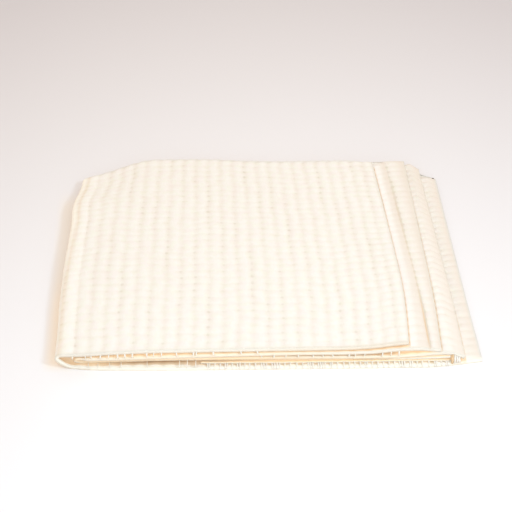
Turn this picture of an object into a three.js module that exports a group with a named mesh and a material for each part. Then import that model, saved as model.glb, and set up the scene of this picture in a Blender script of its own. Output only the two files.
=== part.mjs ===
// A reusable paper towel: one square of thick ribbed cotton, folded twice into quarters and laid flat.
// Millimetres, +Z up. +X runs along the open front edge, away from the left fold, and +Y runs to the back fold.
// The cloth is one sheet in four leaves. The top and bottom leaves are its outer layer, joined at the left fold.
// The second and third leaves are the inner layer, which has its own left fold inside the outer one.
// The back fold joins the top leaf to the second, and the third leaf to the bottom one.
import * as THREE from 'three';

// Driving dimensions
const leafWidth = 150; // top leaf, from the left fold to its open right edge
const thickness = 1.6; // of the cloth, over its ribs
const grooveDepth = 0.3; // between two ribs, on each face
const innerBend = 0.4; // half thickness on the inside of a fold, where the cloth is squeezed
const backTurn = 1.7; // how far the back fold bulges past the end of the leaves
const ribsAcrossTop = 23; // ribs on the upper half of a layer, right of its left fold
const ribsAcrossBottom = 28; // ribs on the lower half of a layer, right of its left fold
const ribsRoundFold = 2; // ribs that go round a left fold
const stepsPerRib = 3; // one step in the groove and two on the crown

// How far each leaf reaches past the right edge of the top leaf, at the front and at the back.
// Crease is the line where the outermost rib of the second leaf bends down, and bow is how far the edge bulges.
const leaves = {
  top: { front: 0.3, back: -0.4, bow: 2, creaseFront: null, creaseBack: null },
  second: { front: 14.8, back: 17.2, bow: 1, creaseFront: 10, creaseBack: 7 },
  third: { front: 24.4, back: 24, bow: 0.6, creaseFront: null, creaseBack: null },
  bottom: { front: 32.2, back: 32.3, bow: 0.8, creaseFront: null, creaseBack: null },
};

// Height of the middle of each leaf above the surface, from left to right along the open front edge.
const bottomLevel = thickness / 2;
const frontHeights = [
  { across: 6, top: 7.3, second: 5.1, third: 3.2 },
  { across: 22, top: 8.2, second: 5.4, third: 3.6 },
  { across: 35, top: 8.6, second: 5.7, third: 3.9 },
  { across: 60, top: 8.7, second: 6.0, third: 4.1 },
  { across: 83, top: 8.7, second: 6.1, third: 3.8 },
  { across: 104, top: 8.7, second: 6.1, third: 3.5 },
  { across: 122, top: 8.9, second: 6.2, third: 3.4 },
  { across: 133, top: 9.4, second: 6.5, third: 3.4 },
  { across: 148, top: 11.2, second: 8.2, third: 3.7 },
  { across: 156, top: 11.4, second: 8.8, third: 4.0 },
  { across: 163, top: 11.4, second: 8.4, third: 4.6 },
  { across: 169, top: 11.4, second: 7.8, third: 5.4 },
  { across: 174, top: 11.4, second: 7.6, third: 3.6 },
];

// The same along the back fold, where the leaves press closer together.
const backHeights = [
  { across: 6, top: 7.2, second: 5.1, third: 2.9 },
  { across: 27, top: 7.6, second: 5.3, third: 2.95 },
  { across: 61, top: 8.2, second: 5.7, third: 3.1 },
  { across: 104, top: 8.4, second: 6.1, third: 3.3 },
  { across: 138, top: 8.8, second: 6.5, third: 3.4 },
  { across: 155, top: 8.9, second: 6.7, third: 3.4 },
  { across: 163, top: 8.9, second: 6.6, third: 3.4 },
  { across: 170, top: 8.9, second: 6.3, third: 3.3 },
  { across: 176, top: 8.9, second: 6.2, third: 3.0 },
];

// How far each leaf's front edge stands back from the front of the top leaf. The bottom leaf reaches past it.
const frontSetback = [
  { across: 0, top: 1.5, second: 1.6, third: 2.6, bottom: 1.5 },
  { across: 14, top: 0.5, second: 0.7, third: 2.2, bottom: -0.2 },
  { across: 27, top: 0.2, second: 0.5, third: 1.8, bottom: -0.7 },
  { across: 60, top: 0.1, second: 0.4, third: 1.2, bottom: -1.4 },
  { across: 100, top: 0.2, second: 0.5, third: 0.6, bottom: -1.8 },
  { across: 140, top: 0.4, second: 0.2, third: 0.5, bottom: -2.0 },
  { across: 165, top: 0.5, second: 0.3, third: 0.3, bottom: -1.5 },
  { across: 174, top: 0.5, second: 0.4, third: 0.2, bottom: -0.2 },
  { across: 183, top: 0.5, second: 0.4, third: 0.2, bottom: 1.2 },
];

// Where the back fold starts to turn: it isn't straight, and the lower leaves end sooner at the right.
const backLine = [
  { across: 0, depth: 151 },
  { across: 27, depth: 153.2 },
  { across: 55, depth: 153.3 },
  { across: 96, depth: 149.5 },
  { across: 136, depth: 148.3 },
  { across: 150, depth: 147.6 },
  { across: 165, depth: 147.2 },
  { across: 172, depth: 146.8 },
  { across: 178, depth: 144.6 },
  { across: 183, depth: 142.5 },
];

// How far the left side bulges out, from its front end to the back.
const leftLine = [
  { across: 0, reach: 0 },
  { across: 0.06, reach: 0.3 },
  { across: 0.27, reach: 1.9 },
  { across: 0.42, reach: 2.4 },
  { across: 0.55, reach: 2.4 },
  { across: 0.67, reach: 2.2 },
  { across: 0.8, reach: 3.3 },
  { across: 1, reach: 2.6 },
];

// The left folds: where each starts to turn and how far it then reaches. Below 1, nose puts the point that
// reaches furthest above the middle of the turn, and above 1, spread widens the rib under it.
const leftFolds = {
  outer: { turnsAt: 6, reach: 6.2, nose: 0.7, spread: 1.6 },
  inner: { turnsAt: 10.5, reach: 4, nose: 1, spread: 1 },
};

// The back left corner, where both folds meet, is drawn in, rounded and pressed down.
const corner = { fromLeft: 36, fromBack: 45, drawnForward: 9.5, drawnRight: 3.5, pressed: 0.25 };

// Ribs are narrower towards the right edge of a leaf, more so at the front.
const ribSkewFront = 0.2;
const ribSkewBack = 0.07;

// Slow rises and hollows of the whole stack, as a share of its height.
const unevenness = 0.035;

// Rows of points from the front edge to where the back fold starts, and steps round the back fold.
const rowsAlongLeaf = [0, 0.07, 0.26, 0.52, 0.76, 0.92, 1];
const backTurnSteps = 4;

const clothColour = new THREE.Color(0.93, 0.88, 0.78);

// A smooth curve through one column of a table.
function columnOf(rows, column) {
  const curve = new THREE.CubicInterpolant(rows.map((row) => row.across), rows.map((row) => row[column]), 1);
  return (across) => curve.evaluate(across)[0];
}

const bowAlong = columnOf([
  { across: 0, share: 0 },
  { across: 0.22, share: 1 },
  { across: 0.55, share: 0.85 },
  { across: 1, share: 0 },
], 'share');

const heightOf = {};
const setbackOf = { bottom: columnOf(frontSetback, 'bottom') };
for (const name of ['top', 'second', 'third']) {
  const front = columnOf(frontHeights, name);
  const back = columnOf(backHeights, name);
  heightOf[name] = (across, along) => THREE.MathUtils.lerp(front(across), back(across), along);
  setbackOf[name] = columnOf(frontSetback, name);
}
heightOf.bottom = () => bottomLevel;
const depthAt = columnOf(backLine, 'depth');
const leftReachAt = columnOf(leftLine, 'reach');

// Where a rib line of a leaf lies across the cloth: ribLine counts from the left fold's end to the open edge.
function acrossLeaf(name, turnsAt, ribLine, ribCount, along) {
  const leaf = leaves[name];
  const edge = leafWidth + THREE.MathUtils.lerp(leaf.front, leaf.back, along) + leaf.bow * bowAlong(along);
  if (leaf.creaseFront === null) {
    const share = ribLine / ribCount;
    const skew = THREE.MathUtils.lerp(ribSkewFront, ribSkewBack, along);
    return THREE.MathUtils.lerp(turnsAt, edge, share + skew * share ** 3 * (1 - share));
  }
  const crease = leafWidth + THREE.MathUtils.lerp(leaf.creaseFront, leaf.creaseBack, along) + leaf.bow * bowAlong(along);
  if (ribLine <= ribCount - 1) {
    return THREE.MathUtils.lerp(turnsAt, crease, ribLine / (ribCount - 1));
  }
  return THREE.MathUtils.lerp(crease, edge, ribLine - (ribCount - 1));
}

// A point of one layer's middle surface. The count runs in ribs from the upper leaf's open edge, round the left
// fold, to the lower leaf's open edge.
function layerPoint(upperName, lowerName, fold, count, along) {
  const lowerStart = ribsAcrossTop + ribsRoundFold;
  let across;
  let height;
  let setback;
  if (count <= ribsAcrossTop) {
    across = acrossLeaf(upperName, fold.turnsAt, ribsAcrossTop - count, ribsAcrossTop, along);
    height = heightOf[upperName](across, along);
    setback = setbackOf[upperName](across);
  } else if (count >= lowerStart) {
    across = acrossLeaf(lowerName, fold.turnsAt, count - lowerStart, ribsAcrossBottom, along);
    height = heightOf[lowerName](across, along);
    setback = setbackOf[lowerName](across);
  } else {
    const turned = ((count - ribsAcrossTop) / ribsRoundFold) ** fold.spread;
    const upper = heightOf[upperName](fold.turnsAt, along);
    const lower = heightOf[lowerName](fold.turnsAt, along);
    across = fold.turnsAt - fold.reach * Math.sin(Math.PI * turned);
    height = (upper + lower) / 2 + ((upper - lower) / 2) * Math.cos(Math.PI * turned ** (1 / fold.nose));
    setback = THREE.MathUtils.lerp(setbackOf[upperName](across), setbackOf[lowerName](across), turned);
  }
  const x = across - leftReachAt(along) * (1 - THREE.MathUtils.smoothstep(across, 0, 60));
  return new THREE.Vector3(x, THREE.MathUtils.lerp(setback, depthAt(across), along), height);
}

// The middle surface over the whole cloth: row counts from the outer layer's front edge over the back fold to
// the inner layer's front edge.
const lastRow = rowsAlongLeaf.length - 1;
const rowCount = 2 * lastRow + backTurnSteps + 1;
function clothPoint(count, row) {
  if (row <= lastRow) {
    return layerPoint('top', 'bottom', leftFolds.outer, count, rowsAlongLeaf[row]);
  }
  if (row >= lastRow + backTurnSteps) {
    return layerPoint('second', 'third', leftFolds.inner, count, rowsAlongLeaf[rowCount - 1 - row]);
  }
  const outer = layerPoint('top', 'bottom', leftFolds.outer, count, 1);
  const inner = layerPoint('second', 'third', leftFolds.inner, count, 1);
  const turned = (Math.PI * (row - lastRow)) / backTurnSteps;
  const point = outer.clone().add(inner).multiplyScalar(0.5);
  point.addScaledVector(outer.sub(inner), Math.cos(turned) / 2);
  point.y += backTurn * Math.sin(turned);
  return point;
}

// The back left corner and the slow unevenness move every point, so they keep the leaves in their order.
function settle(point) {
  const nearLeft = 1 - THREE.MathUtils.smoothstep(point.x, 0, corner.fromLeft);
  const nearBack = THREE.MathUtils.smoothstep(point.y, backLine[0].depth - corner.fromBack, backLine[0].depth);
  const share = nearLeft * nearBack;
  const wave = Math.sin(point.x / 23 + point.y / 31) * Math.sin(point.y / 27 - 0.6);
  point.x += corner.drawnRight * share;
  point.y -= corner.drawnForward * share;
  point.z *= (1 - corner.pressed * share) * (1 + unevenness * wave);
  return point;
}

// Half the cloth's thickness on each face at a point: thin in a groove, full on a crown, squeezed on the inside
// of a fold, and without ribs on the underside that lies on the surface.
function halfThickness(step, row) {
  const half = thickness / 2 - (step % stepsPerRib === 0 ? grooveDepth : 0);
  const leftFoldStart = ribsAcrossTop * stepsPerRib;
  const leftFoldEnd = leftFoldStart + ribsRoundFold * stepsPerRib;
  const inBackFold = row >= lastRow && row <= lastRow + backTurnSteps;
  const inInnerLeftFold = step >= leftFoldStart && step <= leftFoldEnd && row >= lastRow + backTurnSteps;
  const onSurface = step >= leftFoldEnd && row <= lastRow;
  return {
    outside: onSurface ? thickness / 2 : Math.min(half, inInnerLeftFold ? innerBend : half),
    inside: Math.min(half, inBackFold ? innerBend : half),
  };
}

function clothGeometry() {
  const steps = (ribsAcrossTop + ribsRoundFold + ribsAcrossBottom) * stepsPerRib;
  const middle = [];
  for (let step = 0; step <= steps; step += 1) {
    const line = [];
    for (let row = 0; row < rowCount; row += 1) {
      line.push(clothPoint(step / stepsPerRib, row));
    }
    middle.push(line);
  }
  const faces = [[], []];
  for (let step = 0; step <= steps; step += 1) {
    for (let row = 0; row < rowCount; row += 1) {
      const alongCloth = middle[Math.min(step + 1, steps)][row].clone().sub(middle[Math.max(step - 1, 0)][row]);
      const overBack = middle[step][Math.min(row + 1, rowCount - 1)].clone().sub(middle[step][Math.max(row - 1, 0)]);
      const normal = overBack.cross(alongCloth).normalize();
      const half = halfThickness(step, row);
      faces[0].push(settle(middle[step][row].clone().addScaledVector(normal, half.outside)));
      faces[1].push(settle(middle[step][row].clone().addScaledVector(normal, -half.inside)));
    }
  }
  const points = [...faces[0], ...faces[1]];
  const innerStart = faces[0].length;
  const indices = [];
  const quad = (a, b, c, d) => indices.push(a, b, c, a, c, d);
  const at = (step, row) => step * rowCount + row;
  for (let step = 0; step < steps; step += 1) {
    for (let row = 0; row < rowCount - 1; row += 1) {
      const corners = [at(step, row), at(step, row + 1), at(step + 1, row + 1), at(step + 1, row)];
      quad(...corners);
      quad(...corners.map((index) => index + innerStart).reverse());
    }
  }
  const rim = (a, b) => quad(a, b, b + innerStart, a + innerStart);
  for (let step = 0; step < steps; step += 1) {
    rim(at(step + 1, rowCount - 1), at(step, rowCount - 1));
    rim(at(step, 0), at(step + 1, 0));
  }
  for (let row = 0; row < rowCount - 1; row += 1) {
    rim(at(0, row + 1), at(0, row));
    rim(at(steps, row), at(steps, row + 1));
  }
  const geometry = new THREE.BufferGeometry().setFromPoints(points);
  geometry.setIndex(indices);
  return geometry;
}

// The origin is on the surface, under the middle of the folded cloth.
function towelCloth() {
  const geometry = clothGeometry();
  geometry.computeBoundingBox();
  const middle = geometry.boundingBox.getCenter(new THREE.Vector3());
  geometry.translate(-middle.x, -middle.y, 0);
  geometry.computeVertexNormals();
  const material = new THREE.MeshStandardMaterial({ color: clothColour, roughness: 0.95, metalness: 0 });
  const mesh = new THREE.Mesh(geometry, material);
  mesh.name = 'cloth';
  return mesh;
}

const towel = new THREE.Group();
towel.name = 'reusable_paper_towel';
towel.add(towelCloth());

export default towel;
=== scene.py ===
import math
import bpy
import numpy as np
from mathutils import Euler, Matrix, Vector


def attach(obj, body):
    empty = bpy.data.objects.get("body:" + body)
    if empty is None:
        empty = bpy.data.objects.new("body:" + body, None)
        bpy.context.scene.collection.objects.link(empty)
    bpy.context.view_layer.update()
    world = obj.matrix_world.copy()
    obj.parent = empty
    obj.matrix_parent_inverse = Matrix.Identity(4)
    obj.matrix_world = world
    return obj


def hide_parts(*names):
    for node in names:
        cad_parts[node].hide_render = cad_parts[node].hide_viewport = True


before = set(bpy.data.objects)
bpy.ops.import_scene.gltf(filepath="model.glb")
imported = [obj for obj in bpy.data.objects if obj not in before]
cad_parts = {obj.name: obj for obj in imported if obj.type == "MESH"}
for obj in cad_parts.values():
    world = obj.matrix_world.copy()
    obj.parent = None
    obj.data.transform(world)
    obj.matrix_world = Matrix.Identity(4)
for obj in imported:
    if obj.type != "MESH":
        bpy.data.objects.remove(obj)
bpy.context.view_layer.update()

mm = 0.001

# The photograph's camera, as a place above the table and an angle.
cameraSetup = {
    "focalPixels": 1206.0,
    "picturePixels": 512.0,
    "sensorWidth": 36.0,
    "elevation": 37.0,  # degrees below the horizon
    "heading": -1.44,  # degrees, anticlockwise seen from above
    "place": (-15.97, -462.51, 351.8),  # mm from the cloth's origin
}


def addCamera():
    data = bpy.data.cameras.new("camera")
    data.sensor_width = cameraSetup["sensorWidth"]
    data.lens = data.sensor_width * cameraSetup["focalPixels"] / cameraSetup["picturePixels"]
    data.clip_start = 0.01
    camera = bpy.data.objects.new("camera", data)
    camera.location = Vector(cameraSetup["place"]) * mm
    tilt = math.radians(90 - cameraSetup["elevation"])
    camera.rotation_euler = Euler((tilt, 0, math.radians(cameraSetup["heading"])))
    bpy.context.collection.objects.link(camera)
    bpy.context.scene.camera = camera
    print("camera set")


addCamera()

# The folded cloth, in mm. Its leaves, folds and corner follow the solid's.
towel = {
    "leafWidth": 150.0,
    "thickness": 1.6,
    "ribsAcrossTop": 23,
    "ribsRoundFold": 2,
    "ribsAcrossBottom": 28,
    "rungs": 31,  # rungs that cross a leaf from its front edge to the back fold
    "rungSkew": 0.1,  # they are wider at the front
    "bottomLevel": 0.8,
    "innerBend": 0.4,  # half the thickness on the inside of a fold, where the cloth is squeezed
    "uneven": 0.035,  # slow rises and hollows, as a share of the height
    "unevenWaves": (23, 31, 27),  # their lengths
    "middle": (90.31, 75.7, 0.0),  # the point that lies at the frame's origin
    "measuredAt": (15, 48, 12),  # rungs of the outer and the inner layer, and a rib
}
backTurn = {
    "bulge": 1.7,
    "openRibs": 3,  # towards the open side the fold changes over this many ribs
    "openBulge": 0.5,  # share of the bulge that is left there
    "drops": (0, 0.35),  # there the turn drops first, then runs sideways at the lower leaf's level
    "runsSideways": (0.3, 1),
}

edges = {  # how far a leaf reaches past leafWidth, at the front and the back
    "top": {"front": -0.5, "back": -1.2, "bow": 2.0, "crease": None},
    "second": {"front": 13.7, "back": 16.1, "bow": 1.0, "crease": (8.9, 6.0)},
    "third": {"front": 24.2, "back": 23.8, "bow": 0.6, "crease": None},
    "bottom": {"front": 32.2, "back": 32.3, "bow": -0.2, "crease": None},
}

frontHeights = {  # of the middle of each leaf, along the open front edge
    "across": [6, 22, 35, 60, 83, 104, 122, 133, 148, 156, 163, 169, 174],
    "top": [7.5, 9.2, 9.9, 9.9, 9.7, 9.5, 9.5, 10.0, 11.9, 12.1, 12.1, 12.1, 12.1],
    "second": [5.1, 5.6, 6.1, 6.6, 6.8, 6.8, 6.8, 7.1, 8.6, 8.6, 7.8, 7.5, 7.4],
    "third": [2.8, 3.4, 4.05, 4.4, 4.4, 4.35, 4.25, 4.2, 4.5, 5.2, 5.9, 5.7, 3.6],
}
backHeights = {
    "across": [6, 27, 61, 104, 138, 155, 163, 170, 176],
    "top": [7.2, 7.6, 8.2, 8.4, 8.6, 8.5, 8.5, 8.5, 8.5],
    "second": [5.1, 5.3, 5.7, 6.1, 6.6, 6.8, 6.7, 6.3, 6.2],
    "third": [2.9, 2.95, 3.1, 3.3, 3.4, 3.4, 3.4, 3.3, 3.0],
}
frontSetback = {  # how far back each leaf's front edge lies
    "across": [0, 14, 27, 60, 100, 140, 165, 174, 183],
    "top": [1.5, 0.5, 0.2, 0.1, 0.2, 0.4, 0.5, 0.5, 0.5],
    "second": [1.6, 0.7, 0.5, 0.4, 0.5, 0.2, 0.3, 0.4, 0.4],
    "third": [2.6, 2.2, 1.8, 1.2, 0.6, 0.5, 0.3, 0.2, 0.2],
    "bottom": [1.5, -0.2, -0.7, -1.4, -1.8, -2.0, -1.5, -0.2, 1.2],
}
backLine = {  # where the back fold starts to turn
    "across": [0, 8, 16, 24, 36, 55, 96, 136, 150, 165, 172, 178, 183],
    "depth": [151, 153.2, 154.4, 154.2, 153.6, 153.3, 149.5, 148.3, 147.6, 147.2, 146.8, 144.6, 142.5],
}
backReach = {  # how much further back a leaf lies than that line
    "across": [150, 158, 165, 169, 173, 178, 183],
    "second": [1.2, 3.4, 4.6, 4.6, 4.6, 4.6, 4.6],
    "third": [0, 0.3, 3, 6.5, 3, 2, 2],
    "bottom": [0, 0, 0, -1, -3, 0.5, 0],
}
leftLine = {  # how far the left side bulges out
    "along": [0, 0.06, 0.27, 0.42, 0.55, 0.67, 0.8, 1],
    "reach": [0, 0.3, 1.9, 2.4, 2.4, 2.4, 3.9, 4],
    "width": (60, 44),  # of the cloth that follows it, at the front and the back
    "narrows": (0.6, 0.85),
}
leftFolds = {
    "outer": {"turnsAt": 6, "reach": 7.5, "nose": 0.7, "spread": 1.6},
    "inner": {"turnsAt": 10.5, "reach": 4, "nose": 1, "spread": 1},
}
corner = {"fromLeft": 36, "fromBack": 45, "drawnForward": 9.5, "drawnRight": 3.5, "pressed": 0.25}
ribSkew = (0.2, 0.07)  # ribs are narrower towards the right edge, more so at the front than at the back

# The weave's relief, in mm: ribs with grooves between them, crossed by rungs, with a pit at each crossing.
weave = {
    "seed": 7,
    "ribSamples": [-0.4, -0.24, -0.1, 0.0, 0.1, 0.24, 0.4],  # shares of a rib's width beside its groove
    "rungSamples": [-0.3, -0.12, 0.0, 0.12, 0.3],  # shares of a rung's width beside its notch
    "crown": 0.1,
    "grooveDepth": 0.25,
    "grooveSharpness": 1.4,
    "notchDepth": 0.09,
    "notchSharpness": 2.5,
    "pitDepth": 0.145,
    "pitsVary": 0.3,
    "pitAcross": 0.27,
    "pitAlong": 0.19,
    "grooveVaries": 0.25,
    "thinnest": 0.15,
    "creaseDepth": 0.2,
    "creaseWidth": 0.13,  # of a rib
    "creaseFront": 1.6,  # how much deeper the crease is towards the front edge
    "creaseFrontRungs": (54, 60),
    # The second leaf's rib line beside the top leaf's edge is faint: its count, width and faintness.
    "flatRib": (2, 0.4, 0.7),
    "flatMargin": 0.7,  # how faint the rib lines are on the open margins of the lower leaves
    "flatMarginRibs": (2.6, 2.1),
    "marginNotches": 1.0,  # how much deeper the notches are there
    "secondNotchRibs": (1.9, 1.4),
    "lowerNotchRibs": (3, 2.5),
    # The left fold's groove lies a little above its nose: rungs, and the rib count it lies at.
    "foldGroove": ((9, 23.965), (21, 23.775)),
    "foldGrooveWidth": 0.45,
    "ribWander": 0.035,
    "rungWander": 0.1,
    "heightsVary": 0.25,
    "notchesVary": 0.6,
}

# The band at an open edge where the cut yarns spread and fill the grooves.
edgeYarn = {"rungs": 0.28, "ribs": 0.16, "swell": 0.05}


def smoothstep(value, low, high):
    share = np.clip((value - low) / (high - low), 0, 1)
    return share * share * (3 - 2 * share)


def mix(a, b, share):
    return a + (b - a) * share


def smoothCurve(places, values):
    places = np.array(places, float)
    values = np.array(values, float)
    slopes = np.gradient(values, places)

    def at(place):
        place = np.clip(place, places[0], places[-1])
        i = np.clip(np.searchsorted(places, place, side="right") - 1, 0, len(places) - 2)
        width = places[i + 1] - places[i]
        t = (place - places[i]) / width
        rise = values[i + 1] - values[i]
        first = slopes[i] * width
        last = slopes[i + 1] * width
        return values[i] + t * (first + t * ((3 * rise - 2 * first - last) + t * (first + last - 2 * rise)))

    return at


bowAlong = smoothCurve([0, 0.22, 0.55, 1], [0, 1, 0.85, 0])
heightCurves = {
    name: [smoothCurve(heights["across"], heights[name]) for heights in (frontHeights, backHeights)]
    for name in ("top", "second", "third")
}
setbackCurves = {name: smoothCurve(frontSetback["across"], frontSetback[name]) for name in edges}
depthCurve = smoothCurve(backLine["across"], backLine["depth"])
leftCurve = smoothCurve(leftLine["along"], leftLine["reach"])
reachCurves = {
    name: smoothCurve(backReach["across"], backReach[name])
    for name in ("second", "third", "bottom")
}


def backDepth(name, across):
    return depthCurve(across) + (reachCurves[name](across) if name in reachCurves else 0)


def leafHeight(name, across, along):
    if name == "bottom":
        return np.full(np.broadcast(across, along).shape, towel["bottomLevel"])
    front, back = heightCurves[name]
    return mix(front(across), back(across), along)


def rightEdge(name, along):
    leaf = edges[name]
    return towel["leafWidth"] + mix(leaf["front"], leaf["back"], along) + leaf["bow"] * bowAlong(along)


def creaseLine(name, along):
    leaf = edges[name]
    front, back = leaf["crease"]
    return towel["leafWidth"] + mix(front, back, along) + leaf["bow"] * bowAlong(along)


def acrossLeaf(name, turnsAt, ribLine, ribCount, along):
    edge = rightEdge(name, along)
    if edges[name]["crease"] is None:
        share = ribLine / ribCount
        return mix(turnsAt, edge, share + mix(*ribSkew, along) * share**3 * (1 - share))
    creaseAt = creaseLine(name, along)
    inner = mix(turnsAt, creaseAt, ribLine / (ribCount - 1))
    return np.where(ribLine <= ribCount - 1, inner, mix(creaseAt, edge, ribLine - (ribCount - 1)))


def layerPoints(upper, lower, fold, count, along):
    top = towel["ribsAcrossTop"]
    start = top + towel["ribsRoundFold"]
    turnsAt, reach = fold["turnsAt"], fold["reach"]
    upperAcross = acrossLeaf(upper, turnsAt, top - count, top, along)
    lowerAcross = acrossLeaf(lower, turnsAt, count - start, towel["ribsAcrossBottom"], along)
    turned = np.clip((count - top) / towel["ribsRoundFold"], 0, 1) ** fold["spread"]
    foldAcross = turnsAt - reach * np.sin(math.pi * turned) + 0 * along
    upperFold = leafHeight(upper, turnsAt, along)
    lowerFold = leafHeight(lower, turnsAt, along)
    halfway = (upperFold + lowerFold) / 2
    foldHeight = halfway + (upperFold - halfway) * np.cos(math.pi * turned ** (1 / fold["nose"]))
    foldSetback = mix(setbackCurves[upper](foldAcross), setbackCurves[lower](foldAcross), turned)
    onUpper = count <= top
    onLower = count >= start
    across = np.where(onUpper, upperAcross, np.where(onLower, lowerAcross, foldAcross))
    height = np.where(onUpper, leafHeight(upper, upperAcross, along),
                      np.where(onLower, leafHeight(lower, lowerAcross, along), foldHeight))
    setback = np.where(onUpper, setbackCurves[upper](upperAcross),
                       np.where(onLower, setbackCurves[lower](lowerAcross), foldSetback))
    width = mix(*leftLine["width"], smoothstep(along, *leftLine["narrows"]))
    x = across - leftCurve(along) * (1 - smoothstep(across, 0, width))
    y = mix(setback, np.where(onUpper, backDepth(upper, across), backDepth(lower, across)), along)
    return np.stack([x, y, height], axis=-1)


def settle(points):
    x, y, z = points[..., 0], points[..., 1], points[..., 2]
    nearLeft = 1 - smoothstep(x, 0, corner["fromLeft"])
    nearBack = smoothstep(y, backLine["depth"][0] - corner["fromBack"], backLine["depth"][0])
    share = nearLeft * nearBack
    first, second, third = towel["unevenWaves"]
    wave = np.sin(x / first + y / second) * np.sin(y / third - 0.6)
    lift = (1 - corner["pressed"] * share) * (1 + towel["uneven"] * wave)
    return np.stack([x + corner["drawnRight"] * share, y - corner["drawnForward"] * share, z * lift], axis=-1)


def sampleLines(cells, offsets):
    lines = sorted({round(cell + offset, 6) for cell in range(cells + 1) for offset in offsets}
                   | set(range(cells + 1)))
    return np.array([line for line in lines if 0 <= line <= cells], float)


# Where the fine lines of the mesh lie: counts of ribs one way, and of rungs over the back fold the other.
foldCell = towel["rungs"]  # the back fold is the one cell after the outer layer's last rung
ribCells = towel["ribsAcrossTop"] + towel["ribsRoundFold"] + towel["ribsAcrossBottom"]
rungCells = 2 * towel["rungs"] + 1
countLines = sampleLines(ribCells, weave["ribSamples"])
rungLines = sampleLines(rungCells, weave["rungSamples"])
rungLines = np.unique(np.concatenate([rungLines[rungLines < foldCell], foldCell + np.linspace(0, 1, 9),
                                      rungLines[rungLines > foldCell + 1]]))


def rungAlong(share):
    return share + towel["rungSkew"] * share * (1 - share) ** 2


def middleSurface(count, rung):
    rungs = towel["rungs"]
    onOuter = rung <= rungs
    onInner = rung >= rungs + 1
    outerAlong = rungAlong(np.clip(rung / rungs, 0, 1))
    innerAlong = rungAlong(np.clip((rungCells - rung) / rungs, 0, 1))
    outer = layerPoints("top", "bottom", leftFolds["outer"], count, outerAlong)
    inner = layerPoints("second", "third", leftFolds["inner"], count, innerAlong)
    upperPair = (count <= towel["ribsAcrossTop"] + 1)[..., None]
    turned = np.clip(rung - rungs, 0, 1)
    fallen = np.where(upperPair[..., 0], turned, 1 - turned)
    higher = np.where(upperPair, outer, inner)
    lower = np.where(upperPair, inner, outer)
    inside = smoothstep(np.minimum(count, ribCells - count), 0, backTurn["openRibs"])
    even = (1 - np.cos(math.pi * fallen)) / 2
    sideways = mix(smoothstep(fallen, *backTurn["runsSideways"]), even, inside)
    downwards = mix(smoothstep(fallen, *backTurn["drops"]), even, inside)
    bend = mix(higher, lower, np.stack([sideways, even, downwards], axis=-1))
    bend[..., 1] += backTurn["bulge"] * np.sin(math.pi * turned) * mix(backTurn["openBulge"], 1, inside)
    return np.where(onOuter[..., None], outer, np.where(onInner[..., None], inner, bend))


def foldGrooveAt(rung):
    (firstRung, first), (lastRung, last) = weave["foldGroove"]
    return np.interp(rung, [firstRung, lastRung], [first, last])


def reliefAt(count, rung, side):
    dice = np.random.RandomState(weave["seed"] + side)
    phase = dice.uniform(0, 2 * math.pi, 4)
    ribWave = np.sin(rung * 0.9 + count * 0.31 + phase[0]) + np.sin(rung * 2.3 + phase[1])
    rungWave = np.sin(count * 1.7 + rung * 0.2 + phase[2]) + np.sin(count * 0.6 + phase[3])
    ribPlace = count + weave["ribWander"] * ribWave
    rungPlace = rung + weave["rungWander"] * rungWave

    def spread(columns, rows, amount):
        shares = 1 + amount * dice.uniform(-1, 1, (ribCells + 2, rungCells + 2))
        column = np.clip(columns, 0, ribCells + 1).astype(int)
        row = np.clip(rows, 0, rungCells + 1).astype(int)
        return shares[column, row]

    grooveAt = foldGrooveAt(rung)
    nearGroove = np.exp(-(((count - grooveAt) / weave["foldGrooveWidth"]) ** 2)) * (rung < foldCell + 0.5)
    ribPlace = ribPlace + (towel["ribsAcrossTop"] + 1 - grooveAt) * nearGroove
    fromGroove = ribPlace - np.round(ribPlace)
    fromNotch = rungPlace - np.round(rungPlace)
    groove = (0.5 + 0.5 * np.cos(2 * math.pi * fromGroove)) ** weave["grooveSharpness"]
    flatAt, flatWidth, flatShare = weave["flatRib"]
    groove = groove * (1 - flatShare * np.exp(-(((count - flatAt) / flatWidth) ** 2)) * (rung > foldCell + 1))
    starts, ends = weave["flatMarginRibs"]
    groove = groove * (1 - weave["flatMargin"] * smoothstep(count, ribCells - starts, ribCells - ends))
    notch = (0.5 + 0.5 * np.cos(2 * math.pi * fromNotch)) ** weave["notchSharpness"]
    pit = np.exp(-((fromGroove / weave["pitAcross"]) ** 2) - (fromNotch / weave["pitAlong"]) ** 2)
    pillow = spread(np.floor(ribPlace), np.floor(rungPlace), weave["heightsVary"])
    relief = weave["crown"] * pillow * (1 - groove)
    varied = np.sin(count * 2.1 + phase[0]) * np.sin(rung * 0.33 + count * 0.8 + phase[1])
    relief -= weave["grooveDepth"] * groove * (1 + weave["grooveVaries"] * varied)
    starts, ends = weave["lowerNotchRibs"]
    onLower = smoothstep(count, ribCells - starts, ribCells - ends)
    deeper = 1 + weave["marginNotches"] * np.maximum(smoothstep(count, *weave["secondNotchRibs"]), onLower)
    notch = notch * (1 - groove) * spread(np.floor(ribPlace), np.round(rungPlace), weave["notchesVary"])
    relief -= weave["notchDepth"] * deeper * notch
    relief -= weave["pitDepth"] * pit * spread(np.round(ribPlace), np.round(rungPlace), weave["pitsVary"])
    return np.maximum(relief, weave["thinnest"] - towel["thickness"] / 2)


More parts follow.
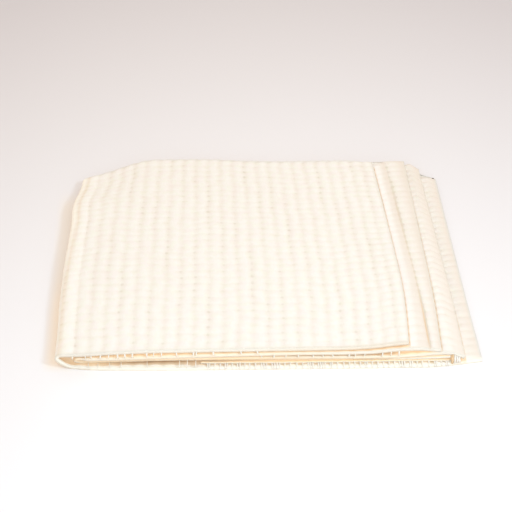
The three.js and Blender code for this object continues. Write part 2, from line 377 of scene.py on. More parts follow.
# How dark the leaves make what they cover, in mm past or under their edges. Each pair is where a change
# starts and ends.
shade = {
    "lip": 0.5,  # of each front edge that stays light
    "bottomLip": [2.1, 3.0, 3.0, 2.45],  # of the bottom leaf's, which reaches further forward
    "bottomLipAcross": [14, 32, 52, 64],
    "bottomLipEnds": (168, 171),
    "open": 12.0,  # for a point that nothing covers
    "openRibs": 3.5,  # the open end of the back fold, which nothing covers
    "openRungs": 1.1,
    "contact": (-0.7, 0.1),
    "contactShare": 0.6,
    "deep": 3.0,  # under a leaf, where its shade is full
    "lit": (-5.0, -1.5),
    # the dark line of painted shade beside each edge
    "shadeLine": (-1.35, -0.55),
}


def underCover(count, rung, middle, side):
    # How far under the leaf that covers it a point lies: negative past that leaf's edge.
    x, y = middle[..., 0], middle[..., 1]
    onUpper = count <= towel["ribsAcrossTop"] + 1
    onOuter = rung <= foldCell + 0.5
    along = np.clip(y / depthCurve(x), 0, 1)

    def inside(cover, frontOf=None):
        front = mix(setbackCurves[frontOf or cover](x), 0, along)
        lip = np.interp(x, shade["bottomLipAcross"], shade["bottomLip"]) if frontOf else shade["lip"]
        return np.minimum(rightEdge(cover, along) - x, y - front - lip)

    bare = np.full(x.shape, -shade["open"])
    fromFold = count - towel["ribsAcrossTop"]
    folded = (fromFold > 0) & (fromFold < towel["ribsRoundFold"] + 0.5)
    if side == 0:
        outer = np.where(onUpper | folded, bare, inside("bottom"))
        inner = np.minimum(inside("second"), backDepth("second", x) - y)  # the gap is open at the back too
    else:
        shadedBottom = mix(inside("third", "bottom"), inside("third"), smoothstep(x, *shade["bottomLipEnds"]))
        outer = np.where(onUpper, inside("top"), shadedBottom)
        inner = np.where(onUpper, inside("top"), inside("third"))
    fromOpenSide = np.minimum(count, ribCells - count)
    atEnds = (np.abs(rung - foldCell - 0.5) < shade["openRungs"]) & (fromOpenSide < shade["openRibs"])
    return np.where(atEnds, bare, np.where(onOuter, outer, inner))


def edgeFullness(count, rung):
    # 1 at the open edges, where the cut yarns spread and fill the grooves, and 0 a little way in.
    fromFront = np.minimum(rung, rungCells - rung) / edgeYarn["rungs"]
    fromSide = np.minimum(count, ribCells - count) / edgeYarn["ribs"]
    return 1 - smoothstep(np.minimum(fromFront, fromSide), 0, 1)


def clothSurfaces():
    count, rung = np.meshgrid(countLines, rungLines, indexing="ij")
    middle = middleSurface(count, rung)
    alongCloth = np.gradient(middle, axis=0)
    overBack = np.gradient(middle, axis=1)
    normal = np.cross(overBack, alongCloth)
    normal /= np.linalg.norm(normal, axis=-1, keepdims=True)
    half = towel["thickness"] / 2
    foldStart = towel["ribsAcrossTop"]
    foldEnd = foldStart + towel["ribsRoundFold"]
    onSurface = (count >= foldEnd) & (rung <= foldCell)
    inBackFold = (rung >= foldCell) & (rung <= foldCell + 1)
    inInnerFold = (count >= foldStart) & (count <= foldEnd) & (rung >= foldCell + 1)
    fullness = edgeFullness(count, rung)
    reliefs = [mix(reliefAt(count, rung, side), edgeYarn["swell"], fullness) for side in (0, 1)]
    onCrease = (rung > foldCell + 1) * np.exp(-(((count - 1) / weave["creaseWidth"]) ** 2))
    nearFront = smoothstep(rung, *weave["creaseFrontRungs"])
    reliefs[1] = reliefs[1] - weave["creaseDepth"] * onCrease * (1 + weave["creaseFront"] * nearFront)
    outside = half + reliefs[0]
    outside = np.where(inInnerFold, np.minimum(outside, towel["innerBend"]), outside)
    outside = np.where(onSurface, half, outside)
    inside = half + reliefs[1]
    inside = np.where(inBackFold, np.minimum(inside, towel["innerBend"]), inside)
    faces = [settle(middle + normal * outside[..., None]), settle(middle - normal * inside[..., None])]
    covers = [underCover(count, rung, middle, 0), underCover(count, rung, middle, 1)]
    return count, rung, middle, faces, reliefs, covers, fullness


# How the light shows at the open margins: each pair is at the front and the back, or where a change starts
# and ends along the leaf, from 0 at its front to 1 at its back.
margins = {
    "secondShadeLine": (0.9, 1),  # how dark the painted shade line beside the leaf above is
    "thirdShadeLine": (0.85, 0.55),
    "bottomShadeLine": (1, 0.2),
    "bottomShadeLineFades": (0.05, 0.35),
    "shadeLineStarts": 1.5,  # mm from the front edge
    "lipShade": 0.8,  # painted shade on the bottom leaf's front edge
    "lipDepth": 2.5,
    "lipFrom": 8,
    "creaseTone": (0.22, 0.85),  # painted shade in the second leaf's crease, behind and in front
    "creaseEnds": (61.5, 62.7),  # in rungs
    "creaseFades": (0.7, 0.95),
    "rim": (0.86, 1),  # share of the bottom leaf's margin where painted shade comes in, as its edge turns down
    "rimTurn": 0.8,
}
# The left fold's painted shade and painted highlight: widths in ribs, and rib counts where a change starts
# and ends.
leftFoldMarks = {
    "groove": 0.3,  # how dark the painted shade in its groove is
    "grooveWidth": 0.09,
    "nose": 0.6,  # how much of the painted highlight's colour the rib below the groove has
    "noseStarts": (0.08, 0.3),  # past the groove
    "noseEnds": (24.9, 25.3),
    "noseGlow": 0.3,
    "aboveGlow": 0.15,  # of the rib above the groove
    "aboveStarts": (22.9, 23.6),
    "aboveEnds": (24, 24.3),
    "warm": 0.1,  # share of the margins' painted shade on the top leaf, and the same again on its last ribs
    "warmStarts": (20.5, 22.3),
    "warmEnds": (23.2, 23.8),
    "turn": 0.5,  # how much painted shade the back fold has where it turns down
    "turnWidth": 0.15,  # in rungs, as the next
    "turnEnds": 0.6,
}
# The front edges, in mm across the cloth and from its front. The light comes through the thin cloth at the
# front of the gaps, and along the strips that face the front. Lists are places across and the values there.
frontMarks = {
    "strip": ([14, 32, 52, 64, 110, 130], [0.6, 0.9, 0.9, 0.1, 0.2, 0.5]),  # on the bottom leaf's upper face
    "stripDepth": (3.2, 1.8),
    "rim": (1.3, 0.3),
    "rimStarts": (55, 65),
    "under": (0.6, 1),  # along that leaf's lower face, from left to right
    "underAcross": (60, 150),
    "underDepth": (3, 0.5),
    "underRibs": 26,
    "upperGap": ([8, 22, 50, 80, 110, 140], [0.5, 1.2, 1.2, 0.8, 0.8, 1.1]),
    "lowerGap": ([14, 32, 50, 90], [1.5, 0.2, 0.2, 1.9]),
    "innerGap": (0.6, 0.1, 1.5),
    "innerGapAcross": ((90, 110), (132, 150)),
    "gapDepth": (15, 40),
    "topTone": 0.2,  # how dark the painted shade on the top leaf's cut edge is towards the right
    "topToneAcross": (60, 140),
    # painted shade on the third leaf's front edge
    "thirdTone": ([56, 68, 90, 132], [0, 0.6, 0.5, 0]),
    "toneDepth": 3,
}


def leftFoldValues(count, rung):
    marks = leftFoldMarks
    grooveAt = foldGrooveAt(rung)
    noseStarts, noseFull = marks["noseStarts"]
    nose = smoothstep(count, grooveAt + noseStarts, grooveAt + noseFull)
    nose = nose * (1 - smoothstep(count, *marks["noseEnds"]))
    above = smoothstep(count, *marks["aboveStarts"]) * (1 - smoothstep(count, *marks["aboveEnds"]))
    glow = marks["noseGlow"] * nose + marks["aboveGlow"] * above
    groove = marks["groove"] * np.exp(-(((count - grooveAt) / marks["grooveWidth"]) ** 2))
    lastRibs = smoothstep(count, *marks["warmStarts"]) * (1 - smoothstep(count, *marks["warmEnds"]))
    warm = marks["warm"] + marks["warm"] * lastRibs
    turn = smoothstep(rung, foldCell - marks["turnWidth"], foldCell + marks["turnWidth"])
    turn = marks["turn"] * turn * (rung < foldCell + marks["turnEnds"])
    return nose, glow, groove, warm, turn


def frontStrip(x, y, along, onBottom, underBottom):
    # The strips of cloth that face the front and let the light through.
    marks = frontMarks
    strip = np.interp(x, *marks["strip"]) * onBottom * smoothstep(y, *marks["stripDepth"])
    fromRim = y - mix(setbackCurves["bottom"](x), 0, along)
    rim = smoothstep(x, *marks["rimStarts"]) * smoothstep(fromRim, *marks["rim"])
    under = mix(*marks["under"], smoothstep(x, *marks["underAcross"])) * smoothstep(y, *marks["underDepth"])
    return np.maximum(strip, onBottom * rim) + underBottom * under


def gapGlow(x, y, side, onUpper):
    # How much light comes through the cloth into the gaps between the leaves.
    marks = frontMarks
    if side == 1:
        glow = np.where(onUpper, np.interp(x, *marks["upperGap"]), np.interp(x, *marks["lowerGap"]))
    else:
        left, middle, right = marks["innerGap"]
        rises, falls = marks["innerGapAcross"]
        glow = mix(mix(left, middle, smoothstep(x, *rises)), right, smoothstep(x, *falls))
    return glow * (1 - smoothstep(y, *marks["gapDepth"]))


def marginValues(count, rung, middle, side):
    # How far across its open margin a point lies, 0 to 1, and how the edge above it shades and lights it.
    x, y = middle[..., 0], middle[..., 1]
    along = np.clip(y / depthCurve(x), 0, 1)
    onOuter = rung <= foldCell + 0.5
    onUpper = count <= towel["ribsAcrossTop"] + 1
    outside = (side == 0) & onOuter
    onSecond = (side == 1) & ~onOuter & onUpper
    onThird = (side == 0) & ~onOuter & ~onUpper
    onBottom = (side == 1) & onOuter & ~onUpper
    underBottom = outside & ~onUpper & (count > frontMarks["underRibs"])
    nose, glow, groove, warm, turn = leftFoldValues(count, rung)

    topEdge, secondEdge, thirdEdge, bottomEdge = (rightEdge(name, along) for name in edges)
    creaseAt = creaseLine("second", along)
    beforeCrease = (x - topEdge) / (creaseAt - topEdge)
    pastCrease = (x - creaseAt) / (secondEdge - creaseAt)
    second = np.where(x < creaseAt, beforeCrease, pastCrease)
    third = (x - secondEdge) / (thirdEdge - secondEdge)
    bottom = (x - thirdEdge) / (bottomEdge - thirdEdge)
    across = np.select([onSecond, onThird, onBottom], [second, third, bottom], 0.0)

    # Painted shade: a dark line beside the edge of the leaf above, and on the bottom leaf's front edge.
    pastFront = y > margins["shadeLineStarts"]
    shadeLine = onSecond * mix(*margins["secondShadeLine"], along) + onThird * mix(*margins["thirdShadeLine"], along)
    bottomShadeLine = mix(*margins["bottomShadeLine"], smoothstep(along, *margins["bottomShadeLineFades"]))
    shadeLine = (shadeLine + onBottom * bottomShadeLine) * pastFront
    onLip = onBottom & (y < margins["lipDepth"]) & (x > margins["lipFrom"])
    # Painted shade in the second leaf's crease, stronger towards the front.
    nearFront = smoothstep(rung, *weave["creaseFrontRungs"]) * (1 - smoothstep(rung, *margins["creaseEnds"]))
    onCreaseLine = onSecond & (np.abs(count - 1) < 0.02)
    crease = onCreaseLine * mix(*margins["creaseTone"], nearFront)
    crease = crease * (1 - smoothstep(along, *margins["creaseFades"]))
    # Painted shade on the cut front edges of the top and third leaves.
    topTone = frontMarks["topTone"] * smoothstep(x, *frontMarks["topToneAcross"]) * (onUpper & onOuter)
    thirdTone = np.interp(x, *frontMarks["thirdTone"]) * (~onUpper & ~onOuter)
    frontTone = (topTone + thirdTone) * edgeFullness(count, rung) * (y < frontMarks["toneDepth"])
    return {
        "margin": np.where(outside & onUpper, warm, np.clip(across, 0, 1)),
        "shadeLine": np.where(onLip, margins["lipShade"], shadeLine),
        "lit": onSecond * pastFront,
        "crease": np.maximum(crease, frontTone) + groove * outside,
        "thin": gapGlow(x, y, side, onUpper),
        "strip": np.maximum(frontStrip(x, y, along, onBottom, underBottom), glow * outside),
        "fold": leftFoldMarks["nose"] * nose * outside,
        "turn": turn * (side == 0) + margins["rimTurn"] * smoothstep(across, *margins["rim"]) * onBottom,
    }


def denseBlocks():
    dense = np.zeros((2, ribCells, rungCells), bool)
    top = towel["ribsAcrossTop"]
    fold = top + towel["ribsRoundFold"]
    dense[0, : fold + 1, : foldCell + 1] = True  # top leaf, left fold and back fold
    dense[0, :, foldCell] = True
    dense[:, :, :1] = True  # every open front edge
    dense[:, :, -1:] = True
    dense[0, top - 1 : fold + 1, foldCell:] = True
    dense[1, top - 1 : fold + 1, foldCell:] = True
    dense[1, :4, foldCell:] = True  # the second leaf's open margin, seen from above
    dense[0, -4:, foldCell:] = True  # the third leaf's
    dense[1, -4:, : foldCell + 1] = True  # the bottom leaf's
    return dense


def lineIndices(lines, cells):
    return [int(np.argmin(np.abs(lines - cell))) for cell in range(cells + 1)]


def clothMesh():
    count, rung, middle, faces, reliefs, covers, fullness = clothSurfaces()
    lines, rows = count.shape
    layer = lines * rows
    points = np.concatenate([face.reshape(-1, 3) for face in faces])
    ribAt = lineIndices(countLines, ribCells)
    rungAt = lineIndices(rungLines, rungCells)
    dense = denseBlocks()
    polygons = []
    for side in (0, 1):
        base = side * layer
        for i in range(ribCells):
            for j in range(rungCells):
                i0, i1, j0, j1 = ribAt[i], ribAt[i + 1], rungAt[j], rungAt[j + 1]
                if dense[side, i, j]:
                    for a in range(i0, i1):
                        for b in range(j0, j1):
                            start = a * rows + b
                            ring = [start, start + 1, start + rows + 1, start + rows]
                            polygons.append([base + k for k in (ring if side == 0 else ring[::-1])])
                    continue
                fineLeft = i == 0 or dense[side, i - 1, j]
                fineRight = i == ribCells - 1 or dense[side, i + 1, j]
                fineFront = j == 0 or dense[side, i, j - 1]
                fineBack = j == rungCells - 1 or dense[side, i, j + 1]
                ring = [i0 * rows + b for b in (range(j0, j1) if fineLeft else [j0])]
                ring += [a * rows + j1 for a in (range(i0, i1) if fineBack else [i0])]
                ring += [i1 * rows + b for b in (range(j1, j0, -1) if fineRight else [j1])]
                ring += [a * rows + j0 for a in (range(i1, i0, -1) if fineFront else [i1])]
                polygons.append([base + k for k in (ring if side == 0 else ring[::-1])])

    def rim(a, b):
        polygons.append([a, b, b + layer, a + layer])

    for a in range(lines - 1):
        rim((a + 1) * rows + rows - 1, a * rows + rows - 1)
        rim(a * rows, (a + 1) * rows)
    for b in range(rows - 1):
        rim(b + 1, b)
        rim((lines - 1) * rows + b, (lines - 1) * rows + b + 1)
    bothSides = [marginValues(count, rung, middle, side) for side in (0, 1)]
    values = {
        "rungCount": np.concatenate([rung.ravel()] * 2),
        "relief": np.concatenate([relief.ravel() for relief in reliefs]),
        "under": np.concatenate([cover.ravel() for cover in covers]),
        "cut": np.concatenate([fullness.ravel()] * 2),
    }
    for name in bothSides[0]:
        values[name] = np.concatenate([marks[name].ravel() for marks in bothSides])
    return points, polygons, values, middle


def lineLength(points):
    return np.linalg.norm(np.diff(points, axis=0), axis=1).sum()


def addPiece(name, points, polygons, values):
    mesh = bpy.data.meshes.new(name)
    points = points - np.array(towel["middle"])
    mesh.from_pydata((points * mm).tolist(), [], polygons)
    mesh.validate()
    mesh.shade_smooth()
    for value in values:
        layer = mesh.attributes.new(value, "FLOAT", "POINT")
        layer.data.foreach_set("value", values[value].astype(np.float32))
    piece = bpy.data.objects.new(name, mesh)
    bpy.context.collection.objects.link(piece)
    print(f"{name} made, {sum(len(p) - 2 for p in polygons)} triangles")
    return piece


def addCloth():
    points, polygons, values, middle = clothMesh()
    used = np.zeros(len(points), bool)
    used[np.concatenate([np.array(p) for p in polygons])] = True
    number = np.cumsum(used) - 1
    polygons = [[int(number[k]) for k in p] for p in polygons]
    cloth = addPiece("towelCloth", points[used], polygons, {name: values[name][used] for name in values})
    outerRung, innerRung, rib = towel["measuredAt"]
    outer = lineLength(middle[:, rungLines.searchsorted(outerRung)])
    inner = lineLength(middle[:, rungLines.searchsorted(innerRung)])
    depth = lineLength(middle[countLines.searchsorted(rib)])
    print(f"layers {outer:.1f} and {inner:.1f} mm long, {depth:.1f} mm the other way")
    return cloth


class NodeTools:
    def __init__(self, name):
        self.material = bpy.data.materials.new(name)
        self.material.use_nodes = True
        self.nodes = self.material.node_tree.nodes
        self.links = self.material.node_tree.links
        self.shader = self.nodes["Principled BSDF"]

    def feed(self, socket, value):
        if isinstance(value, bpy.types.NodeSocket):
            self.links.new(value, socket)
        else:
            socket.default_value = value

    def value(self, name):
        node = self.nodes.new("ShaderNodeAttribute")
        node.attribute_name = name
        return node.outputs["Fac"]

    def place(self):
        return self.nodes.new("ShaderNodeTexCoord").outputs["Object"]

    def math(self, operation, first, second=0.0):
        node = self.nodes.new("ShaderNodeMath")
        node.operation = operation
        self.feed(node.inputs[0], first)
        self.feed(node.inputs[1], second)
        return node.outputs["Value"]

    def scaled(self, place, shares):
        node = self.nodes.new("ShaderNodeVectorMath")
        node.operation = "MULTIPLY"
        self.feed(node.inputs[0], place)
        self.feed(node.inputs[1], shares)
        return node.outputs["Vector"]

    def axes(self, place):
        node = self.nodes.new("ShaderNodeSeparateXYZ")
        self.feed(node.inputs[0], place)
        return node.outputs["X"], node.outputs["Y"]

    def distance(self, first, second):
        node = self.nodes.new("ShaderNodeVectorMath")
        node.operation = "DISTANCE"
        self.feed(node.inputs[0], first)
        self.feed(node.inputs[1], second)
        return node.outputs["Value"]

    def ramp(self, value, low, high, bottom=0.0, top=1.0, smooth=True):
        node = self.nodes.new("ShaderNodeMapRange")
        node.interpolation_type = "SMOOTHSTEP" if smooth else "LINEAR"
        self.feed(node.inputs["Value"], value)
        self.feed(node.inputs["From Min"], low)
        self.feed(node.inputs["From Max"], high)
        self.feed(node.inputs["To Min"], bottom)
        self.feed(node.inputs["To Max"], top)
        return node.outputs["Result"]

    def noise(self, place, scale):
        node = self.nodes.new("ShaderNodeTexNoise")
        self.feed(node.inputs["Vector"], place)
        self.feed(node.inputs["Scale"], scale)
        self.feed(node.inputs["Detail"], 1.0)
        return node.outputs["Fac"]

    def blend(self, share, first, second, kind="MIX"):
        node = self.nodes.new("ShaderNodeMix")
        node.data_type = "RGBA"
        node.blend_type = kind
        self.feed(node.inputs["Factor"], share)
        self.feed(node.inputs["A"], first)
        self.feed(node.inputs["B"], second)
        return node.outputs["Result"]


cotton = {
    "crown": (0.88, 0.815, 0.735, 1),
    # The groove and pit colours are painted shade, darker where the weave's relief is lower.
    "groove": (0.855, 0.775, 0.68, 1),
    "pit": (0.73, 0.64, 0.53, 1),
    "rosy": (1.0, 0.975, 0.985, 1),  # this tint and the next lie over all in faint patches
    "sallow": (0.985, 1.0, 0.965, 1),
    # the open edges' band of spread cut yarns, darkened with painted shade along the edge
    "cut": (0.80, 0.71, 0.59, 1),
    "lit": (0.96, 0.88, 0.81, 1),  # beside the edge of the leaf above, where the light gathers
    # painted shade that darkens each open margin towards its own edge
    "marginEndShade": (0.80, 0.68, 0.57, 1),
    # painted shade where the cloth turns down, at the back fold and along the bottom leaf's edge
    "turn": (0.72, 0.68, 0.62, 1),
    # painted highlight on the left fold's nose, which faces away from the lamp
    "nose": (0.95, 0.84, 0.71, 1),
    # painted shade: dark lines beside the leaves' edges and in the crease, and the deepest shade in the gaps
    "shadeLine": (0.75, 0.51, 0.29, 1),
    # painted shade under the leaves, warm in the gaps between them
    "under": (1.0, 0.70, 0.40, 1),
    "through": (0.8, 0.92, 0.8, 1),  # light that comes through the thin cloth between the leaves
    "throughShare": 0.19,
    "crownRelief": (-0.3, 0.06),  # mm of relief over which the groove's painted shade turns into the crown's colour
    "pitRelief": (-0.52, -0.28),
    "rosySpots": (0.4, 0.65),
    "rosyScale": 260,
    "sallowSpots": (0.42, 0.66),
    "sallowScale": 330,
    "marginStarts": 0.1,  # share of the margin where its painted shade starts
    "marginShare": 0.9,
    "dashes": 0.65,  # how dark the painted shade line stays between two rungs
    "roughness": 0.95,
}


def cottonMaterial():
    tools = NodeTools("cotton")
    relief = tools.value("relief")
    under = tools.value("under")
    shadeLine = tools.value("shadeLine")
    place = tools.place()
    # Painted shade in the weave: darker in the grooves and darkest in the pits.
    colour = tools.blend(tools.ramp(relief, *cotton["crownRelief"]), cotton["groove"], cotton["crown"])
    colour = tools.blend(tools.ramp(relief, *cotton["pitRelief"]), cotton["pit"], colour)
    for tint in ("rosy", "sallow"):
        spots = tools.ramp(tools.noise(place, cotton[tint + "Scale"]), *cotton[tint + "Spots"])
        colour = tools.blend(spots, colour, cotton[tint], "MULTIPLY")
    # Painted shade across each open margin, darker towards its edge, and faintly on the top leaf by the left
    # fold.
    margin = tools.ramp(tools.value("margin"), cotton["marginStarts"], 1, 0, cotton["marginShare"])
    colour = tools.blend(margin, colour, cotton["marginEndShade"])
    lit = tools.math("MULTIPLY", tools.value("lit"), tools.ramp(under, *shade["lit"]))
    colour = tools.blend(lit, colour, cotton["lit"])
    # Painted highlight on the left fold's nose.
    colour = tools.blend(tools.value("fold"), colour, cotton["nose"])
    # The open edges: the spread yarns, with painted shade along the edge.
    colour = tools.blend(tools.value("cut"), colour, cotton["cut"])
    # Painted shade where the cloth turns down.
    colour = tools.blend(tools.value("turn"), colour, cotton["turn"])
    waves = tools.math("SINE", tools.math("MULTIPLY", tools.value("rungCount"), 2 * math.pi))
    dashes = tools.ramp(waves, -1, 1, cotton["dashes"], 1, smooth=False)
    # Painted shade: a dashed dark line beside each edge, and the crease and edge shades.
    line = tools.math("MULTIPLY", shadeLine, tools.ramp(under, *shade["shadeLine"]))
    line = tools.math("MAXIMUM", tools.math("MULTIPLY", line, dashes), tools.value("crease"))
    colour = tools.blend(line, colour, cotton["shadeLine"])
    # Painted shade under the leaves, deepest where they cover most.
    shaded = tools.blend(shadeLine, cotton["under"], cotton["shadeLine"])
    contact = tools.ramp(under, *shade["contact"], 0, shade["contactShare"])
    deep = tools.ramp(under, shade["contact"][1], shade["deep"], 0, 1 - shade["contactShare"])
    covered = tools.math("ADD", contact, deep)
    through = tools.math("MULTIPLY", covered, tools.value("thin"))
    through = tools.math("MAXIMUM", through, tools.value("strip"))
    through = tools.math("MULTIPLY", through, cotton["throughShare"])
    tools.feed(tools.shader.inputs["Base Color"], tools.blend(covered, colour, shaded))
    tools.feed(tools.shader.inputs["Emission Color"], cotton["through"])
    tools.feed(tools.shader.inputs["Emission Strength"], through)
    tools.feed(tools.shader.inputs["Roughness"], cotton["roughness"])
    return tools.material


cloth = addCloth()
cottonLook = cottonMaterial()
cloth.data.materials.append(cottonLook)
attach(cloth, "root")
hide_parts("cloth")

# Cut yarn ends at the open front edges: places across the cloth, in mm.
frayed = {
    "seed": 21,
    "sides": 6,
    "bars": [  # short ends between two leaves: their places, and their girth as shares of barRadius
        {"between": ("top", "second"), "girth": (0.8, 1.5), "across": [
            5.5, 11.2, 13.5, 17.7, 21.2, 24.8, 28.1, 31.3, 37.3, 40.4, 43.7, 50, 57.4, 58.6, 65.8, 77.6, 84.6,
        ]},
        {"between": ("third", "bottom"), "girth": (0.45, 0.8), "across": [
            12, 16.1, 21, 26, 37.2, 51.2, 54.6, 58.2,
        ]},
        {"between": ("second", "third"), "girth": (0.8, 1.4), "across": [
            86.5, 92, 97, 102.3, 108.5, 112.8, 117, 124.3, 126.7, 131, 138.6, 142.2, 145.5,
        ]},
    ],
    "barRadius": 0.27,
    "barLean": 0.5,
    "barBulge": (0.15, 0.4),
    "barSetback": 0.12,
    "barHold": 0.6,  # share of half the cloth's thickness that a bar reaches into
    "openings": [  # dark gaps between the ends that lie on the bottom leaf's margin
        62.2, 65.2, 67.5, 69.8, 72.8, 74.9, 78.4, 80.1, 82.5, 85.2, 89.8, 95.5, 97.4, 100.3, 103, 105.4,
        109.8, 115, 118, 120.5, 123.4, 125.3, 128.1, 130, 133.1, 135.4, 138, 140.1, 142.8, 144.8, 149.4,
        152.7, 154.5, 157.2, 160.1, 163.2, 165.1, 168.2,
    ],
    "openingWidth": 1.35,
    "endPitch": 1.05,
    "endRadius": 0.42,
    "endGirth": (0.8, 1.1),
    "endReach": (-0.1, 0.3),
    "endRise": (0.3, 0.55),
    "cords": [  # yarns that run along behind those ends
        {"across": [60.2, 169.2], "step": 0.9, "setback": 0.1, "wander": (0.12, 0.1), "rise": [0.6, 0.6],
         "radius": [0.5, 0.5]},
        {"across": [126, 140, 152, 162, 168.4], "step": 0.8, "setback": 0.9, "wander": (0.1, 0.06),
         "rise": [0.7, 1.0, 1.5, 2.1, 2.3], "radius": [0.3, 0.5, 0.8, 1.1, 1.0]},
    ],
    # share of painted shade on the cords' upper sides, which lie under the third leaf
    "cordCover": 0.5,
    "cornerBars": [169.9, 170.8, 171.7],  # thick ends where the third leaf comes down to the bottom one
    "cornerRadius": 0.5,
    "shadedBar": 168.9,  # one beside them, dark with painted shade
    "shadedRadius": 0.55,
    "relief": 0.05,  # as the weave's, for the colour
    # share of the open edges' colour, with its painted shade, that the yarns take
    "cut": 0.5,
}


def frontRim(name):
    # The leaf's open front edge, middle of its thickness, from left to right.
    fold = towel["ribsAcrossTop"] + towel["ribsRoundFold"]
    upper = name in ("top", "second")
    lines = countLines[(countLines <= towel["ribsAcrossTop"]) if upper else (countLines >= fold)]
    rung = 0.0 if name in ("top", "bottom") else float(rungCells)
    rim = settle(middleSurface(lines, np.full(lines.shape, rung)))
    return rim[np.argsort(rim[:, 0])]


def onRim(rim, across):
    x, y, z = rim.T
    return np.array([across, np.interp(across, x, y), np.interp(across, x, z)])


def yarnPaths():
    dice = np.random.RandomState(frayed["seed"])
    rims = {name: frontRim(name) for name in edges}
    half = towel["thickness"] / 2
    paths = []

    def bar(upper, lower, across, radius, cover=0.0):
        lean = dice.uniform(-frayed["barLean"], frayed["barLean"])
        hold = half * frayed["barHold"]
        top = onRim(rims[upper], across) + (0, frayed["barSetback"], -hold)
        foot = onRim(rims[lower], across + lean) + (0, frayed["barSetback"], hold)
        front = min(top[1], foot[1]) - dice.uniform(*frayed["barBulge"])
        middle = (top + foot) / 2
        middle[1] = front
        paths.append(([top, mix(top, middle, 0.6), middle, mix(foot, middle, 0.6), foot], radius, cover))

    def forwardEnd(across):
        # A yarn end that lies on the bottom leaf's margin and reaches its front edge.
        front = onRim(rims["bottom"], across)
        back = onRim(rims["third"], across)
        level = front[2] + half
        reach = dice.uniform(*frayed["endReach"])
        rise = dice.uniform(*frayed["endRise"])
        paths.append(([
            (across + dice.uniform(-0.2, 0.2), back[1] + 0.6, level + rise),
            (across, mix(back[1], front[1], 0.35), level + rise * 0.8),
            (across, mix(back[1], front[1], 0.75), level + 0.12),
            (across + dice.uniform(-0.15, 0.15), front[1] - 0.1 - reach * 0.5, level - 0.15),
            (across + dice.uniform(-0.25, 0.25), front[1] - 0.2 - reach, level - 0.8),
        ], frayed["endRadius"] * dice.uniform(*frayed["endGirth"]), 0.0))

    for bars in frayed["bars"]:
        for across in bars["across"]:
            bar(*bars["between"], across, frayed["barRadius"] * dice.uniform(*bars["girth"]))
    openings = frayed["openings"]
    for left, right in zip(openings[:-1], openings[1:]):
        room = right - left - frayed["openingWidth"]
        ends = max(1, round(room / frayed["endPitch"]))
        for k in range(ends):
            forwardEnd(left + frayed["openingWidth"] / 2 + room * (k + 0.5) / ends)
    for cord in frayed["cords"]:
        aside, upwards = cord["wander"]
        path, girth = [], []
        for across in np.arange(cord["across"][0], cord["across"][-1] + 0.1, cord["step"]):
            level = onRim(rims["bottom"], across)[2] + half
            back = onRim(rims["third"], across)[1] + cord["setback"] + dice.uniform(-aside, aside)
            rise = np.interp(across, cord["across"], cord["rise"])
            path.append((across, back, level + rise + dice.uniform(-upwards, upwards)))
            girth.append([np.interp(across, cord["across"], cord["radius"])])
        paths.append((path, np.array(girth), frayed["cordCover"]))
    for across in frayed["cornerBars"]:
        bar("third", "bottom", across, frayed["cornerRadius"])
    bar("third", "bottom", frayed["shadedBar"], frayed["shadedRadius"], 1.0)
    return paths


def addYarns():
    paths = yarnPaths()
    sides = frayed["sides"]
    points, polygons, under = [], [], []
    for path, radius, cover in paths:
        path = np.array(path, float)
        along = np.gradient(path, axis=0)
        along /= np.linalg.norm(along, axis=1, keepdims=True)
        aside = np.where(np.abs(along[:, :1]) < 0.8, np.array([[1.0, 0, 0]]), np.array([[0, 0, 1.0]]))
        aside = aside - along * (aside * along).sum(axis=1, keepdims=True)
        aside /= np.linalg.norm(aside, axis=1, keepdims=True)
        upright = np.cross(along, aside)
        first = len(points)
        girth = np.broadcast_to(radius, (len(path), 1))
        for k in range(len(path)):
            for turn in range(sides):
                angle = 2 * math.pi * turn / sides
                outward = math.cos(angle) * aside[k] + math.sin(angle) * upright[k]
                points.append(path[k] + girth[k] * outward)
                # Yarns that lie under a leaf's edge take its painted shade.
                covered = cover == 1 or (cover > 0 and outward[2] > -0.1)
                under.append(shade["deep"] * cover if covered else -shade["open"])
        for k in range(len(path) - 1):
            for turn in range(sides):
                a = first + k * sides + turn
                b = first + k * sides + (turn + 1) % sides
                polygons.append([a, b, b + sides, a + sides])
        polygons.append([first + turn for turn in range(sides)][::-1])
        polygons.append([first + (len(path) - 1) * sides + turn for turn in range(sides)])
    under = np.array(under)
    values = {"under": under, "shadeLine": under >= shade["deep"]}
    for name in ("relief", "cut"):
        values[name] = np.full(len(points), frayed[name])
    yarns = addPiece("yarnEnds", np.array(points), polygons, values)
    yarns.data.materials.append(cottonLook)
    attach(yarns, "root")
    print(f"{len(paths)} yarns added")


addYarns()


# The table's colour is a painted pool of light, brightest just in front of the cloth and dimming outwards,
# and it glows a little there as painted light. Places are in metres.
table = {
    "halfSize": 3.0,
    "brightAt": (-0.001, -0.065, 0.0),
    "squeeze": (1.0, 0.7, 1.0),
    "bright": (0.915, 0.862, 0.836, 1),
    "dim": (0.65, 0.6, 0.6, 1),
    "dims": (0.055, 0.31),
    "glow": 0.2,
    "glowColour": (1.0, 0.96, 0.95, 1),
    "glowFades": (0.02, 0.1),
    "roughness": 0.8,
}
foldShadowPatch = {  # painted shadow beside the left fold, warm where the cloth's own colour falls on the table
    "front": (0.93, 0.80, 0.67, 1),
    "back": (0.87, 0.785, 0.71, 1),
    "changes": (-0.04, 0.0),
    "slant": 0.05,
    "outerSide": (-0.1036, -0.0976),
    "innerSide": (-0.088, -0.084),
    "frontEnd": (-0.078, -0.07),
    "backEnd": (0.045, 0.065),
}


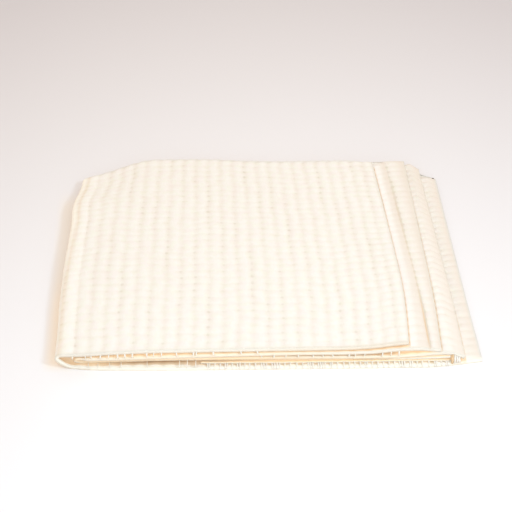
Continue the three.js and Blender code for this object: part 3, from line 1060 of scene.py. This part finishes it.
def addFloor():
    mesh = bpy.data.meshes.new("tableTop")
    size = table["halfSize"]
    corners = [(-size, -size, 0), (size, -size, 0), (size, size, 0), (-size, size, 0)]
    mesh.from_pydata(corners, [], [(0, 1, 2, 3)])
    floor = bpy.data.objects.new("tableTop", mesh)
    bpy.context.collection.objects.link(floor)
    tools = NodeTools("tableWhite")
    place = tools.place()
    # A painted pool of light, dimming away from the spot in front of the cloth.
    away = tools.distance(tools.scaled(place, table["squeeze"]), table["brightAt"])
    colour = tools.blend(tools.ramp(away, *table["dims"], smooth=False), table["bright"], table["dim"])
    x, y = tools.axes(place)
    # A painted shadow beside the left fold, tinted warm.
    slanted = tools.math("ADD", x, tools.math("MULTIPLY", y, foldShadowPatch["slant"]))
    warm = tools.ramp(slanted, *foldShadowPatch["outerSide"])
    warm = tools.math("MULTIPLY", warm, tools.ramp(x, *foldShadowPatch["innerSide"], 1, 0))
    warm = tools.math("MULTIPLY", warm, tools.ramp(y, *foldShadowPatch["frontEnd"]))
    warm = tools.math("MULTIPLY", warm, tools.ramp(y, *foldShadowPatch["backEnd"], 1, 0))
    beside = tools.blend(tools.ramp(y, *foldShadowPatch["changes"]), foldShadowPatch["front"], foldShadowPatch["back"])
    tools.feed(tools.shader.inputs["Base Color"], tools.blend(warm, colour, beside))
    tools.feed(tools.shader.inputs["Roughness"], table["roughness"])
    tools.feed(tools.shader.inputs["Emission Color"], table["glowColour"])
    # A faint glow in front of the cloth: painted light.
    glow = tools.ramp(away, *table["glowFades"], table["glow"], 0)
    tools.feed(tools.shader.inputs["Emission Strength"], glow)
    mesh.materials.append(tools.material)
    print("table made")


# The light is soft and white from all round, with a lamp at the front right and a fill low in front.
lighting = {
    "allRound": 0.97,
    "allRoundColour": (1, 0.935, 0.865, 1),
    "lampPower": 2.5,
    "lampColour": (0.6, 0.8, 1.0),
    "lampSize": 0.16,
    "lampPlace": (0.55, -0.42, 0.6),
    "lampTarget": (-0.02, 0.0, 0.0),
    "fillPower": 0.85,
    "fillColour": (0.4, 0.72, 1.0),
    "fillSize": 0.5,
    "fillPlace": (0.0, -0.42, 0.27),
    "fillTarget": (0.0, -0.06, 0.0),
}


def addLights():
    scene = bpy.context.scene
    scene.world = bpy.data.worlds.new("studio")
    scene.world.use_nodes = True
    background = scene.world.node_tree.nodes["Background"]
    background.inputs["Color"].default_value = lighting["allRoundColour"]
    background.inputs["Strength"].default_value = lighting["allRound"]
    for name in ("lamp", "fill"):
        data = bpy.data.lights.new(name, "AREA")
        data.shape = "DISK"
        data.size = lighting[name + "Size"]
        data.energy = lighting[name + "Power"]
        data.color = lighting[name + "Colour"]
        lamp = bpy.data.objects.new(name, data)
        lamp.location = lighting[name + "Place"]
        aim = Vector(lighting[name + "Target"]) - lamp.location
        lamp.rotation_euler = aim.to_track_quat("-Z", "Y").to_euler()
        bpy.context.collection.objects.link(lamp)
    scene.view_settings.view_transform = "Standard"
    print("lights set")


addFloor()
addLights()
